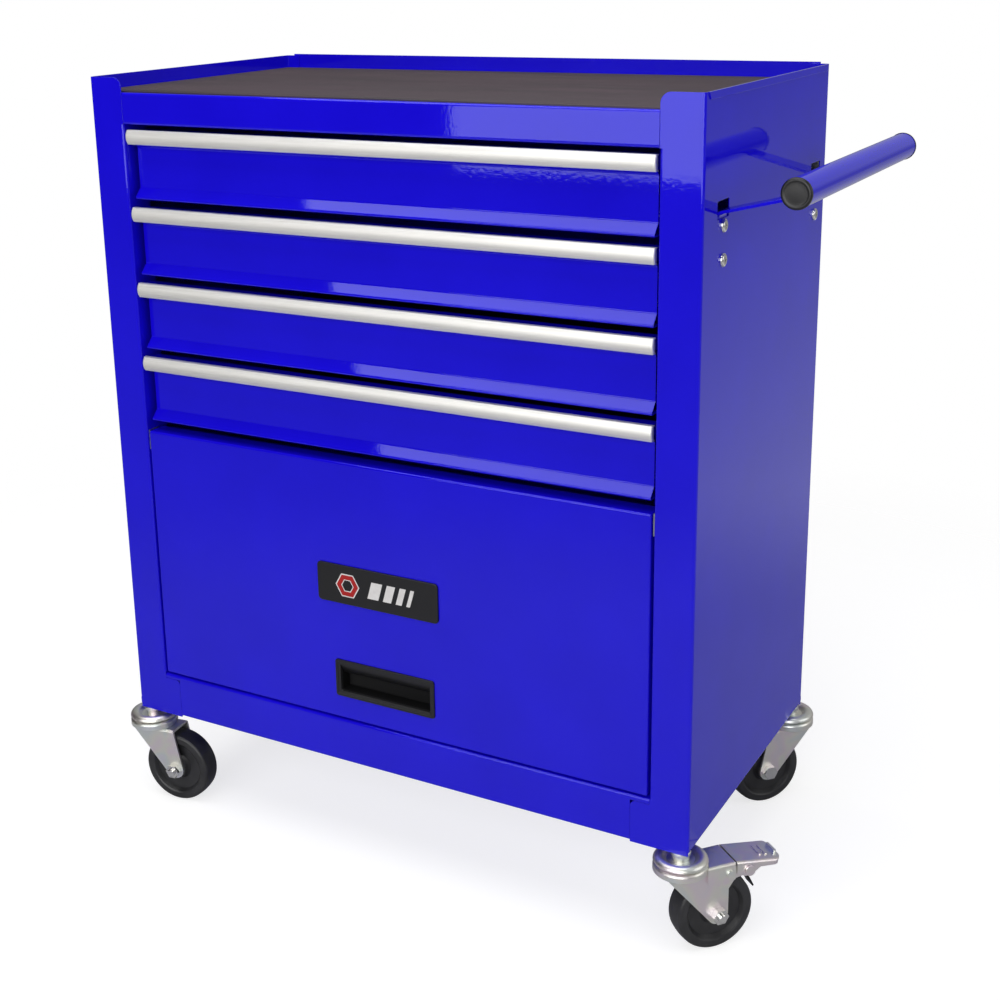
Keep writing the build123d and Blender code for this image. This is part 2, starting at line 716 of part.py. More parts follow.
def fork_outline(braked):
    """Side view of the fork: slanted leading edge, rounded tip at the axle, ears for the pedal's pin."""
    lead, trail_side = radians(222), radians(5)     # where the round tip starts and ends
    tip = [(trail + yoke_tip_r * cos(lead), -axle_drop + yoke_tip_r * sin(lead)),
           (trail, -axle_drop - yoke_tip_r),
           (trail + yoke_tip_r * cos(trail_side), -axle_drop + yoke_tip_r * sin(trail_side))]
    top_left = (-yoke_nose, -yoke_top)
    ear_foot = -pedal_pin_drop - ear_r
    if braked:
        back = [(trail + yoke_tip_r, ear_foot - 10), (ear_reach - 13, ear_foot - 1),
                (ear_reach - 6, ear_foot), (ear_reach, ear_foot), (ear_reach + ear_r, -pedal_pin_drop),
                (ear_reach, -yoke_top), (yoke_plate, -yoke_top)]
    else:
        back = [(yoke_back, -yoke_top)]
    with BuildSketch(mode=Mode.PRIVATE) as face:
        with BuildLine():
            Line(top_left, tip[0])
            ThreePointArc(*tip)
            Polyline(tip[2], *back, top_left)
        make_face()
    return face.sketch


def caster_yoke(corner, braked):
    """Folded fork with the lower race ring on top."""
    half = yoke_w / 2
    foot = -axle_drop - yoke_tip_r - overlap
    ear_l = ear_reach + ear_r - yoke_plate + overlap
    with BuildPart() as yoke:
        with BuildSketch(corner.across.offset(-yoke_nose - overlap)):
            add(folded([(-half, foot), (-half, -yoke_top), (half, -yoke_top), (half, foot)],
                       yoke_fold_r, yoke_t, Side.RIGHT))
        extrude(amount=yoke_nose + ear_reach + ear_r + 2 * overlap)
        with BuildSketch(corner.side.offset(-half)):
            add(fork_outline(braked))
        extrude(amount=yoke_w, mode=Mode.INTERSECT)
        if braked:
            # the top plate stops short, only the ears go on to the pedal's pin
            with BuildSketch(corner.plan.offset(-yoke_top - yoke_t - overlap)):
                with Locations((yoke_plate + ear_l / 2, 0)):
                    Rectangle(ear_l, yoke_w - 2 * yoke_t)
            extrude(amount=yoke_t + 2 * overlap, mode=Mode.SUBTRACT)
            with BuildSketch(corner.plan.offset(-yoke_top - ear_step)):
                with Locations((yoke_plate + ear_l / 2, 0)):
                    Rectangle(ear_l, yoke_w + overlap)
            extrude(amount=ear_step + overlap, mode=Mode.SUBTRACT)
        with BuildSketch(corner.side):
            with BuildLine():
                Polyline((0, -yoke_top - 0.2), (0, -13.4), (17.5, -13.4), (19.0, -yoke_ring_top - 0.6))
                ThreePointArc((19.0, -yoke_ring_top - 0.6), (21.6, -yoke_ring_top), (dish_r, -13.6))
                Polyline((dish_r, -13.6), (dish_r, -yoke_top + 0.8), (dish_r - 1.2, -yoke_top - 0.2),
                         (0, -yoke_top - 0.2))
            make_face()
        revolve(axis=Axis(corner.plan.origin, (0, 0, 1)))
        with BuildSketch(corner.plan):
            Circle(king_r + run_clear)
        extrude(amount=-yoke_top - yoke_t - overlap, mode=Mode.SUBTRACT)
        with BuildSketch(corner.side.offset(-half - overlap)):
            with Locations((trail, -axle_drop)):
                Circle(axle_r + run_clear)
            if braked:
                with Locations((ear_reach, -pedal_pin_drop)):
                    Circle(pedal_pin_r + run_clear)
                with Locations((rivet_reach, -rivet_drop)):
                    Circle(rivet_r)
        extrude(amount=yoke_w + 2 * overlap, mode=Mode.SUBTRACT)
    return yoke


def caster_wheel(corner):
    """One-piece wheel: rounded tread, recessed sides and a wider hub."""
    half = wheel_w / 2
    hub = yoke_w / 2 - yoke_t - hub_gap
    bore = axle_r + run_clear
    half_section = [(bore, 0), (bore, hub), (hub_r - 1, hub), (hub_r + 0.5, hub - 4.0), (hub_r + 2, hub - 6.0),
                    (wheel_r - 12, half - 4.6), (wheel_r - 9.5, half - 0.8), (wheel_r - 8, half)]
    level = corner.side.origin + corner.plan.x_dir * trail + Vector(0, 0, -axle_drop)
    spin = Plane(origin=level, x_dir=corner.plan.x_dir, z_dir=(0, 0, 1))
    with BuildPart() as wheel:
        with BuildSketch(spin):
            with BuildLine():
                Polyline(*half_section, (wheel_r - 3.9, half))
                ThreePointArc((wheel_r - 3.9, half), (wheel_r - 1.5, half - 1.0), (wheel_r - 0.6, half - 3.5))
                ThreePointArc((wheel_r - 0.6, half - 3.5), (wheel_r - 0.15, half / 3), (wheel_r, 0))
                Line((wheel_r, 0), (bore, 0))
            make_face()
            mirror(about=Plane.XZ)
        revolve(axis=Axis(level, corner.side.z_dir))
    return wheel


def caster_axle(corner):
    """Bolt through the fork and its nut, as two solids."""
    half = yoke_w / 2
    with BuildPart() as axle:
        with BuildSketch(corner.side.offset(-half - bolt_head_h)):
            with Locations((trail, -axle_drop)):
                RegularPolygon(nut_af / 2, 6, major_radius=False)
        extrude(amount=bolt_head_h)
        with BuildSketch(corner.side.offset(-half)):
            with Locations((trail, -axle_drop)):
                Circle(axle_r)
        extrude(amount=yoke_w + nut_h + axle_end)
        end = axle.faces().sort_by(Axis(corner.plan.origin, corner.side.z_dir))[-1]
        chamfer(end.edges(), axle_chamfer)
    with BuildPart() as nut:
        with BuildSketch(corner.side.offset(half)):
            with Locations((trail, -axle_drop)):
                RegularPolygon(nut_af / 2, 6, major_radius=False)
                Circle(axle_r + thread_fit, mode=Mode.SUBTRACT)
        extrude(amount=nut_h)
    with BuildPart() as both:
        add(axle.part)
        add(nut.part)
    return both


def brake_cover(corner):
    """Folded cover over the fork, behind the race ring, with the rivet and the pedal's pin."""
    half = brake_w / 2
    start = dish_r / 2
    with BuildPart() as cover:
        with BuildSketch(corner.across.offset(start)):
            add(folded([(-half, -2 * cover_foot), (-half, -brake_top), (half, -brake_top),
                        (half, -2 * cover_foot)], brake_fold_r, brake_t, Side.RIGHT))
        extrude(amount=pedal_front)
        with BuildSketch(corner.side.offset(-half)):
            add(outline([(start, -brake_top), (pedal_front - 1.2, -brake_top),
                         (pedal_front - 0.2, -rivet_drop), (pedal_front - 1, -cover_foot + 4),
                         (rivet_reach, -cover_foot + 1),
                         (rivet_reach - 10, -cover_foot), (start, -cover_foot + 7)]))
        extrude(amount=brake_w, mode=Mode.INTERSECT)
        with BuildSketch(corner.plan):
            Circle(dish_r + fit)
        extrude(amount=-2 * cover_foot, mode=Mode.SUBTRACT)
        with BuildSketch(corner.side.offset(-half - overlap)):
            with Locations((rivet_reach, -rivet_drop)):
                Circle(rivet_r)
        extrude(amount=brake_w + 2 * overlap, mode=Mode.SUBTRACT)
    inside = yoke_w / 2 - yoke_t
    with BuildPart() as pins:
        for reach, drop, shank, head, start, end in (
                (rivet_reach, rivet_drop, rivet_r, rivet_head_r, inside, half),
                (ear_reach, pedal_pin_drop, pedal_pin_r, pin_head_r, 0, half + fit)):
            for way in (-1, 1):
                with BuildSketch(corner.side.offset(way * start)):
                    with Locations((reach, -drop)):
                        Circle(shank)
                extrude(amount=way * (end - start))
                with BuildSketch(corner.side.offset(way * end)):
                    with Locations((reach, -drop)):
                        Circle(head)
                extrude(amount=way * rivet_head)
    with BuildPart() as both:
        add(cover.part)
        add(pins.part)
    return both


def brake_pedal(corner):
    """Foot lever: a sloping channel with ears at its pin and a raised toe."""
    half = brake_w / 2
    tilt = radians(pedal_slope)
    t = corner.plan.x_dir
    along = t * cos(tilt) - Vector(0, 0, sin(tilt))
    start = corner.plan.origin + t * pedal_front - Vector(0, 0, brake_top)
    across = Plane(origin=start, x_dir=corner.across.x_dir, z_dir=along)
    side = Plane(origin=start, x_dir=along, z_dir=corner.side.z_dir)
    plan = Plane(origin=start, x_dir=along, z_dir=across.y_dir)
    pin_x = (ear_reach - pedal_front) * cos(tilt) + (pedal_pin_drop - brake_top) * sin(tilt)
    pin_z = (ear_reach - pedal_front) * sin(tilt) - (pedal_pin_drop - brake_top) * cos(tilt)
    with BuildPart() as pedal:
        with BuildSketch(across):
            add(folded([(-half, -cover_foot), (-half, 0), (half, 0), (half, -cover_foot)],
                       brake_fold_r, brake_t, Side.RIGHT))
        extrude(amount=pedal_l)
        with BuildSketch(side.offset(-half)):
            add(outline([(0.6, 0), (pedal_l, 0), (pedal_l, -5), (pin_x + 11, -6), (pin_x + 6, pin_z - 2),
                         (pin_x + 3, pin_z - 5.5), (pin_x - 4, pin_z - 5.5), (2, -11)]))
        extrude(amount=brake_w, mode=Mode.INTERSECT)
        with BuildSketch(plan.offset(-cover_foot)) as foot:
            with Locations((pedal_l / 2, 0)):
                Rectangle(pedal_l, brake_w)
            fillet(foot.vertices().group_by(Axis.X)[-1], pedal_toe_r)
        extrude(amount=cover_foot + overlap, mode=Mode.INTERSECT)
        # raised toe lip and two tread ribs
        toe_w = brake_w - 2 * pedal_toe_r - 1
        for x, w, h in ((pedal_l - rib_w, toe_w, toe_lip_h), (pedal_l - 12, rib_l, rib_h),
                        (pedal_l - 18, rib_l, rib_h)):
            with BuildSketch(plan.offset(-overlap / 2)):
                with Locations((x, 0)):
                    RectangleRounded(rib_w, w, rib_w / 2 - near)
            extrude(amount=overlap / 2 + h)
        with BuildSketch(side.offset(-half - overlap)):
            with Locations((pin_x, pin_z)):
                Circle(pedal_pin_r + run_clear)
        extrude(amount=brake_w + 2 * overlap, mode=Mode.SUBTRACT)
    return pedal


def brake_leaf(corner):
    """Spring leaf under the cover, bent down behind the tread."""
    under = -yoke_top - yoke_t
    clear = wheel_r + leaf_gap
    round_tread = [(trail + clear * cos(radians(a)), -axle_drop + clear * sin(radians(a)))
                   for a in (50, 34, 19)]
    with BuildPart() as leaf:
        with BuildSketch(corner.side.offset(-leaf_w / 2)):
            add(folded([(yoke_plate - leaf_w, under), (yoke_plate, under), *round_tread],
                       leaf_fold_r, leaf_t, Side.RIGHT))
        extrude(amount=leaf_w)
    return leaf


casters = (("front_left", x_left + stem_in_x, y_front + stem_in_y, 7.0, False),
           ("front_right", x_right - stem_in_x, y_front + stem_in_y, 49.5, True),
           ("rear_left", x_left + stem_in_x, y_back - stem_in_y, 300.0, True),
           ("rear_right", x_right - stem_in_x, y_back - stem_in_y, 229.0, False))

for place, x, y, degrees, braked in casters:
    corner = Corner(x, y, degrees)
    name = "caster_" + place
    write(caster_race(corner), name + "_race")
    write(caster_yoke(corner, braked), name + "_yoke")
    write(caster_wheel(corner), name + "_wheel")
    write(caster_axle(corner), name + "_axle")
    if braked:
        write(brake_cover(corner), name + "_brake_cover")
        write(brake_pedal(corner), name + "_brake_pedal")
        write(brake_leaf(corner), name + "_brake_leaf")

with BuildPart() as caster_nuts:
    with BuildSketch(at_z(z_base + 2 * sheet)):
        with Locations(*stem_places()):
            RegularPolygon(nut_af / 2, 6, major_radius=False)
            Circle(stem_r + thread_fit, mode=Mode.SUBTRACT)
    extrude(amount=nut_h)
write(caster_nuts, "caster_nuts")
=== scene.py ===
import json
from math import cos, pi, radians, sin

import bmesh
import bpy
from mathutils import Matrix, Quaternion, Vector


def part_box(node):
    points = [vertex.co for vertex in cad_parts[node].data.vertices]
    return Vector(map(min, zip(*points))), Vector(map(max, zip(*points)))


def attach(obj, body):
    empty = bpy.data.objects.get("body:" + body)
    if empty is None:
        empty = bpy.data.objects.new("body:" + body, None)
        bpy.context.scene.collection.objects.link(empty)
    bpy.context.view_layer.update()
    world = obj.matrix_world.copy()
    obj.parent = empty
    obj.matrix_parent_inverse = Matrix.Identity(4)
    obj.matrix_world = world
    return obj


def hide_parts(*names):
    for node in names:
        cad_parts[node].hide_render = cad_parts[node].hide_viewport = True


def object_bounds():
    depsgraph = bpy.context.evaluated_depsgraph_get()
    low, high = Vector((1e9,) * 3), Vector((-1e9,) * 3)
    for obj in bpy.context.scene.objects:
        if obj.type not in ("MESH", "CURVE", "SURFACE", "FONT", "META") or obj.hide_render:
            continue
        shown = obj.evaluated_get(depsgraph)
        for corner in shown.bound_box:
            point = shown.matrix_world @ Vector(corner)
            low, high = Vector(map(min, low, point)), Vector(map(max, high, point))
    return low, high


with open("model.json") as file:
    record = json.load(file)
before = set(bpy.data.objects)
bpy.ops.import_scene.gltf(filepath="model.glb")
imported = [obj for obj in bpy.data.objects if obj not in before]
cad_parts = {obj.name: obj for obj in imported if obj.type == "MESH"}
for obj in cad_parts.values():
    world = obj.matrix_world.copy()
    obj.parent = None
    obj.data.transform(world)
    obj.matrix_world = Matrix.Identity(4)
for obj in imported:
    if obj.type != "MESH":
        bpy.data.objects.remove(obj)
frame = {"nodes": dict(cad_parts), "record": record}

# Rolling tool cabinet: powder-coated sheet steel, aluminium drawer handles, zinc-plated casters.
# Metres, +Z up, the drawers face -Y and the push handle is on +X.

cad_low, cad_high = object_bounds()
centre = (cad_low + cad_high) / 2
mm = 0.001
scene = bpy.context.scene


# ---------------------------------------------------------------- materials
def linear(code):
    """An sRGB hex colour as the linear RGBA that sockets take."""
    parts = [int(code[i:i + 2], 16) / 255 for i in (1, 3, 5)]
    return [p / 12.92 if p <= 0.04045 else ((p + 0.055) / 1.055) ** 2.4 for p in parts] + [1.0]


def add_node(tree, kind, inputs=None, **settings):
    """Adds one node. Settings are its own properties; inputs gives a socket its value or what feeds it."""
    made = tree.nodes.new(kind)
    for name, value in settings.items():
        setattr(made, name, value)
    for name, value in (inputs or {}).items():
        if isinstance(value, bpy.types.NodeSocket):
            tree.links.new(value, made.inputs[name])
        else:
            made.inputs[name].default_value = value
    return made


def new_material(name):
    """An empty material's tree, with the object's own coordinates in metres."""
    material = bpy.data.materials.new(name)
    material.use_nodes = True
    tree = material.node_tree
    tree.nodes.clear()
    return material, tree, add_node(tree, "ShaderNodeTexCoord").outputs["Object"]


def finish_material(tree, inputs):
    surface = add_node(tree, "ShaderNodeBsdfPrincipled", inputs)
    add_node(tree, "ShaderNodeOutputMaterial", {"Surface": surface.outputs["BSDF"]})


def blend_colours(tree, factor, *stops):
    """Colour ramp over factor, from (position, hex colour) stops."""
    ramp = add_node(tree, "ShaderNodeValToRGB", {"Fac": factor})
    for element, (at, code) in zip(ramp.color_ramp.elements, stops):
        element.position, element.color = at, linear(code)
    for at, code in stops[2:]:
        ramp.color_ramp.elements.new(at).color = linear(code)
    return ramp.outputs["Color"]


def gloss_powder_coat():
    """Polyester powder, sprayed on sheet steel and baked: a deep ultramarine with clear reflections,
    which the slight orange peel of the cured film breaks at their edges."""
    material, tree, place = new_material("gloss_powder_coat")
    peel_mm = 3.2
    cloud_mm = 90.0
    peel = add_node(tree, "ShaderNodeTexNoise",
                    {"Vector": place, "Scale": 1 / (peel_mm * mm), "Detail": 2.0, "Roughness": 0.45})
    cloud = add_node(tree, "ShaderNodeTexNoise",
                     {"Vector": place, "Scale": 1 / (cloud_mm * mm), "Detail": 2.0})
    colour = blend_colours(tree, cloud.outputs["Fac"], (0.3, "#1407CF"), (0.7, "#170AD8"))
    gloss = add_node(tree, "ShaderNodeMapRange",
                     {"Value": cloud.outputs["Fac"], "From Min": 0.3, "From Max": 0.7,
                      "To Min": 0.02, "To Max": 0.035})
    edge = add_node(tree, "ShaderNodeBevel", {"Radius": 0.4 * mm}, samples=4)
    bump = add_node(tree, "ShaderNodeBump",
                    {"Strength": 0.8, "Distance": 0.02 * mm, "Height": peel.outputs["Fac"],
                     "Normal": edge.outputs["Normal"]})
    finish_material(tree, {"Base Color": colour, "Roughness": gloss.outputs["Result"], "IOR": 1.5,
                           "Specular IOR Level": 0.42, "Normal": bump.outputs["Normal"]})
    return material


def satin_anodised_aluminium():
    """Extruded, brushed along its length and anodised clear: a pale, slightly warm satin metal
    with fine lines along the bar."""
    material, tree, place = new_material("satin_anodised_aluminium")
    line_mm = 0.5
    stretched = add_node(tree, "ShaderNodeMapping", {"Vector": place, "Scale": (0.01, 1.0, 1.0)})
    lines = add_node(tree, "ShaderNodeTexNoise", {"Vector": stretched.outputs["Vector"],
                                                  "Scale": 1 / (line_mm * mm), "Detail": 3.0})
    colour = blend_colours(tree, lines.outputs["Fac"], (0.3, "#F5F3EE"), (0.7, "#FCFBF8"))
    satin = add_node(tree, "ShaderNodeMapRange",
                     {"Value": lines.outputs["Fac"], "From Min": 0.3, "From Max": 0.7,
                      "To Min": 0.52, "To Max": 0.62})
    bump = add_node(tree, "ShaderNodeBump",
                    {"Strength": 0.2, "Distance": 0.02 * mm, "Height": lines.outputs["Fac"]})
    finish_material(tree, {"Base Color": colour, "Metallic": 1.0, "Roughness": satin.outputs["Result"],
                           "Normal": bump.outputs["Normal"]})
    return material


def bright_zinc_plate():
    """Pressed steel, zinc plated and passivated clear: a grey bright metal with faint pink, green
    and straw patches where the passivation film varies in thickness."""
    material, tree, place = new_material("bright_zinc_plate")
    film_mm = 30.0
    grain_mm = 3.0
    film = add_node(tree, "ShaderNodeTexNoise",
                    {"Vector": place, "Scale": 1 / (film_mm * mm), "Detail": 1.5, "Distortion": 0.6})
    grain = add_node(tree, "ShaderNodeTexNoise",
                     {"Vector": place, "Scale": 1 / (grain_mm * mm), "Detail": 2.0})
    colour = blend_colours(tree, film.outputs["Fac"], (0.25, "#E6E4EA"), (0.42, "#F0E6E9"), (0.52, "#EFEDE4"),
                           (0.62, "#E6EBE7"), (0.75, "#E8E5EE"))
    satin = add_node(tree, "ShaderNodeMapRange",
                     {"Value": grain.outputs["Fac"], "From Min": 0.3, "From Max": 0.7,
                      "To Min": 0.34, "To Max": 0.44})
    bump = add_node(tree, "ShaderNodeBump",
                    {"Strength": 0.1, "Distance": 0.02 * mm, "Height": grain.outputs["Fac"]})
    finish_material(tree, {"Base Color": colour, "Metallic": 1.0, "Roughness": satin.outputs["Result"],
                           "Normal": bump.outputs["Normal"]})
    return material


def bright_zinc_fastener():
    """Cold-headed bolts, nuts and screws, zinc plated over a smooth blank: brighter and clearer than the
    pressed plates, so that each flat and edge shows."""
    material, tree, place = new_material("bright_zinc_fastener")
    film_mm = 8.0
    film = add_node(tree, "ShaderNodeTexNoise",
                    {"Vector": place, "Scale": 1 / (film_mm * mm), "Detail": 1.5})
    colour = blend_colours(tree, film.outputs["Fac"], (0.3, "#DAD8D6"), (0.7, "#E6E6E2"))
    satin = add_node(tree, "ShaderNodeMapRange",
                     {"Value": film.outputs["Fac"], "From Min": 0.3, "From Max": 0.7,
                      "To Min": 0.14, "To Max": 0.20})
    edge = add_node(tree, "ShaderNodeBevel", {"Radius": 0.35 * mm}, samples=4)
    finish_material(tree, {"Base Color": colour, "Metallic": 1.0, "Roughness": satin.outputs["Result"],
                           "Normal": edge.outputs["Normal"]})
    return material


def galvanised_slide_steel():
    """Roll-formed galvanised strip: a dull grey metal with small zinc crystals."""
    material, tree, place = new_material("galvanised_slide_steel")
    spangle_mm = 6.0
    spangle = add_node(tree, "ShaderNodeTexVoronoi", {"Vector": place, "Scale": 1 / (spangle_mm * mm)})
    grey = add_node(tree, "ShaderNodeSeparateColor", {"Color": spangle.outputs["Color"]})
    colour = blend_colours(tree, grey.outputs["Red"], (0.0, "#9DA1A5"), (1.0, "#B7BABD"))
    satin = add_node(tree, "ShaderNodeMapRange",
                     {"Value": grey.outputs["Green"], "To Min": 0.32, "To Max": 0.44})
    finish_material(tree, {"Base Color": colour, "Metallic": 1.0, "Roughness": satin.outputs["Result"]})
    return material


def moulded_black_plastic():
    """Injection-moulded ABS with a fine spark-eroded texture: near black, satin."""
    material, tree, place = new_material("moulded_black_plastic")
    texture_mm = 0.6
    texture = add_node(tree, "ShaderNodeTexNoise",
                       {"Vector": place, "Scale": 1 / (texture_mm * mm), "Detail": 2.0})
    colour = blend_colours(tree, texture.outputs["Fac"], (0.3, "#0B0B0D"), (0.7, "#121215"))
    bump = add_node(tree, "ShaderNodeBump",
                    {"Strength": 0.3, "Distance": 0.03 * mm, "Height": texture.outputs["Fac"]})
    finish_material(tree, {"Base Color": colour, "Roughness": 0.38, "IOR": 1.53,
                           "Normal": bump.outputs["Normal"]})
    return material


def ribbed_mat_rubber():
    """Calendered rubber sheet: dark brown-grey, slightly streaked along the rolling direction."""
    material, tree, place = new_material("ribbed_mat_rubber")
    streak_mm = 9.0
    stretched = add_node(tree, "ShaderNodeMapping", {"Vector": place, "Scale": (0.06, 1.0, 1.0)})
    streak = add_node(tree, "ShaderNodeTexNoise", {"Vector": stretched.outputs["Vector"],
                                                   "Scale": 1 / (streak_mm * mm), "Detail": 3.0})
    colour = blend_colours(tree, streak.outputs["Fac"], (0.3, "#2B222A"), (0.7, "#46363F"))
    satin = add_node(tree, "ShaderNodeMapRange",
                     {"Value": streak.outputs["Fac"], "From Min": 0.3, "From Max": 0.7,
                      "To Min": 0.42, "To Max": 0.55})
    finish_material(tree, {"Base Color": colour, "Roughness": satin.outputs["Result"], "IOR": 1.52})
    return material


def foam_drawer_liner():
    """Closed-cell foam sheet: matt charcoal with fine open cells on its skin, each painted darker towards its
    middle, where its bump sinks: painted shade in the cells.
    """
    material, tree, place = new_material("foam_drawer_liner")
    cell_mm = 1.8
    cells = add_node(tree, "ShaderNodeTexVoronoi", {"Vector": place, "Scale": 1 / (cell_mm * mm)})
    # painted shade: the colour darkens towards each cell's middle, the low point of the bump below
    colour = blend_colours(tree, cells.outputs["Distance"], (0.0, "#161617"), (0.8, "#2A2A2C"))
    bump = add_node(tree, "ShaderNodeBump",
                    {"Strength": 0.5, "Distance": 0.2 * mm, "Height": cells.outputs["Distance"]})
    finish_material(tree, {"Base Color": colour, "Roughness": 0.85, "IOR": 1.5,
                           "Normal": bump.outputs["Normal"]})
    return material


def moulded_wheel_rubber():
    """Hard moulded rubber: satin black, a little greyer where mould release dulls it."""
    material, tree, place = new_material("moulded_wheel_rubber")
    bloom_mm = 14.0
    grit_mm = 0.7
    bloom = add_node(tree, "ShaderNodeTexNoise",
                     {"Vector": place, "Scale": 1 / (bloom_mm * mm), "Detail": 3.0})
    grit = add_node(tree, "ShaderNodeTexNoise",
                    {"Vector": place, "Scale": 1 / (grit_mm * mm), "Detail": 2.0})
    colour = blend_colours(tree, bloom.outputs["Fac"], (0.3, "#212123"), (0.7, "#2E2E30"))
    satin = add_node(tree, "ShaderNodeMapRange",
                     {"Value": bloom.outputs["Fac"], "From Min": 0.3, "From Max": 0.7,
                      "To Min": 0.34, "To Max": 0.46})
    bump = add_node(tree, "ShaderNodeBump",
                    {"Strength": 0.3, "Distance": 0.03 * mm, "Height": grit.outputs["Fac"]})
    finish_material(tree, {"Base Color": colour, "Roughness": satin.outputs["Result"], "IOR": 1.52,
                           "Normal": bump.outputs["Normal"]})
    return material


def blackened_spring_steel():
    """Spring steel with a black oxide: dark, slightly oily metal."""
    material, tree, place = new_material("blackened_spring_steel")
    oxide_mm = 4.0
    oxide = add_node(tree, "ShaderNodeTexNoise",
                     {"Vector": place, "Scale": 1 / (oxide_mm * mm), "Detail": 2.0})
    colour = blend_colours(tree, oxide.outputs["Fac"], (0.3, "#0C0C0D"), (0.7, "#18181A"))
    finish_material(tree, {"Base Color": colour, "Metallic": 0.6, "Roughness": 0.4})
    return material


def pocket_shade_black_plastic():
    """The same ABS left coarse inside the pull's pocket, but painted darker and given a weaker reflection
    than the rim's: painted shade in the deep pocket.
    """
    material, tree, place = new_material("pocket_shade_black_plastic")
    grain_mm = 1.2
    grain = add_node(tree, "ShaderNodeTexNoise",
                     {"Vector": place, "Scale": 1 / (grain_mm * mm), "Detail": 3.0})
    # painted shade: the colour is darker than the rim's same ABS, so the pocket reads as deep shade
    colour = blend_colours(tree, grain.outputs["Fac"], (0.3, "#060607"), (0.7, "#0B0B0D"))
    bump = add_node(tree, "ShaderNodeBump",
                    {"Strength": 0.4, "Distance": 0.05 * mm, "Height": grain.outputs["Fac"]})
    # the low Specular IOR Level dims the pocket's reflections: more painted shade
    finish_material(tree, {"Base Color": colour, "Roughness": 0.7, "IOR": 1.53, "Specular IOR Level": 0.2,
                           "Normal": bump.outputs["Normal"]})
    return material


def printed_ink(name, low, high):
    """Pad-printed enamel ink on the plastic plate: even colour, a little thinner here and there, satin."""
    material, tree, place = new_material(name)
    patch_mm = 5.0
    patch = add_node(tree, "ShaderNodeTexNoise",
                     {"Vector": place, "Scale": 1 / (patch_mm * mm), "Detail": 3.0})
    colour = blend_colours(tree, patch.outputs["Fac"], (0.3, low), (0.7, high))
    finish_material(tree, {"Base Color": colour, "Roughness": 0.35, "IOR": 1.5})
    return material


slot_material = {
    "blue_powder_coat": gloss_powder_coat(),
    "anodised_aluminium": satin_anodised_aluminium(),
    "bright_zinc_plate": bright_zinc_plate(),
    "slide_steel": galvanised_slide_steel(),
    "black_moulded_plastic": moulded_black_plastic(),
    "top_mat_rubber": ribbed_mat_rubber(),
    "drawer_liner_foam": foam_drawer_liner(),
    "wheel_rubber": moulded_wheel_rubber(),
    "black_spring_steel": blackened_spring_steel(),
}
# bolts, nuts and screws are in the zinc slot but have a clearer finish than the pressed plates
fastener = bright_zinc_fastener()
caster_places = ("front_left", "front_right", "rear_left", "rear_right")
fastener_nodes = ["handle_screws", "caster_nuts"] + [f"caster_{place}_axle" for place in caster_places]
for part in frame["record"]["subparts"]:
    node_object = frame["nodes"][part["node"]]
    finish = fastener if part["node"] in fastener_nodes else slot_material[part["material_slot"]]
    node_object.data.materials.clear()
    node_object.data.materials.append(finish)


# ---------------------------------------------------------------- pieces
def add_piece(name, shape, finish, body, slot, *stands_for):
    """Turns a finished bmesh into a named piece that rides on a body."""
    bmesh.ops.recalc_face_normals(shape, faces=shape.faces)
    for face in shape.faces:
        face.smooth = True
    mesh = bpy.data.meshes.new(name)
    shape.to_mesh(mesh)
    shape.free()
    mesh.set_sharp_from_angle(angle=radians(38))
    mesh.materials.append(finish)
    piece = bpy.data.objects.new(name, mesh)
    scene.collection.objects.link(piece)
    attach(piece, body)
    if stands_for:
        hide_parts(*stands_for)
    return piece


def add_lathe(shape, start, along, outline, segments=72):
    """Turns an outline of (distance along, radius) in mm about an axis. It starts and ends on the axis."""
    along = Vector(along).normalized()
    side = along.orthogonal().normalized()
    other = along.cross(side)
    rings = []
    for travel, radius in outline:
        middle = Vector(start) + along * travel * mm
        if radius == 0:
            rings.append([shape.verts.new(middle)])
            continue
        turns = [2 * pi * k / segments for k in range(segments)]
        rings.append([shape.verts.new(middle + (side * cos(a) + other * sin(a)) * radius * mm)
                      for a in turns])
    for first, second in zip(rings, rings[1:]):
        for k in range(segments):
            n = (k + 1) % segments
            if len(first) == 1:
                shape.faces.new((first[0], second[k], second[n]))
            elif len(second) == 1:
                shape.faces.new((first[k], first[n], second[0]))
            else:
                shape.faces.new((first[k], first[n], second[n], second[k]))


def add_slab(shape, outline, thickness):
    """A flat closed plate: outline is its points in order, and thickness the vector to its other side."""
    low = [shape.verts.new(p) for p in outline]
    high = [shape.verts.new(Vector(p) + Vector(thickness)) for p in outline]
    shape.faces.new(low)
    shape.faces.new(high)
    for k in range(len(low)):
        n = (k + 1) % len(low)
        shape.faces.new((low[k], low[n], high[n], high[k]))


def round_corners(x0, x1, y0, y1, radius, steps=8):
    """Corner arcs of a rounded rectangle, in order, as (x, y)."""
    corners = ((x1 - radius, y1 - radius, 0), (x0 + radius, y1 - radius, 90),
               (x0 + radius, y0 + radius, 180), (x1 - radius, y0 + radius, 270))
    turns = [(cx, cy, radians(first + 90 * k / steps)) for cx, cy, first in corners for k in range(steps + 1)]
    return [(cx + radius * cos(a), cy + radius * sin(a)) for cx, cy, a in turns]


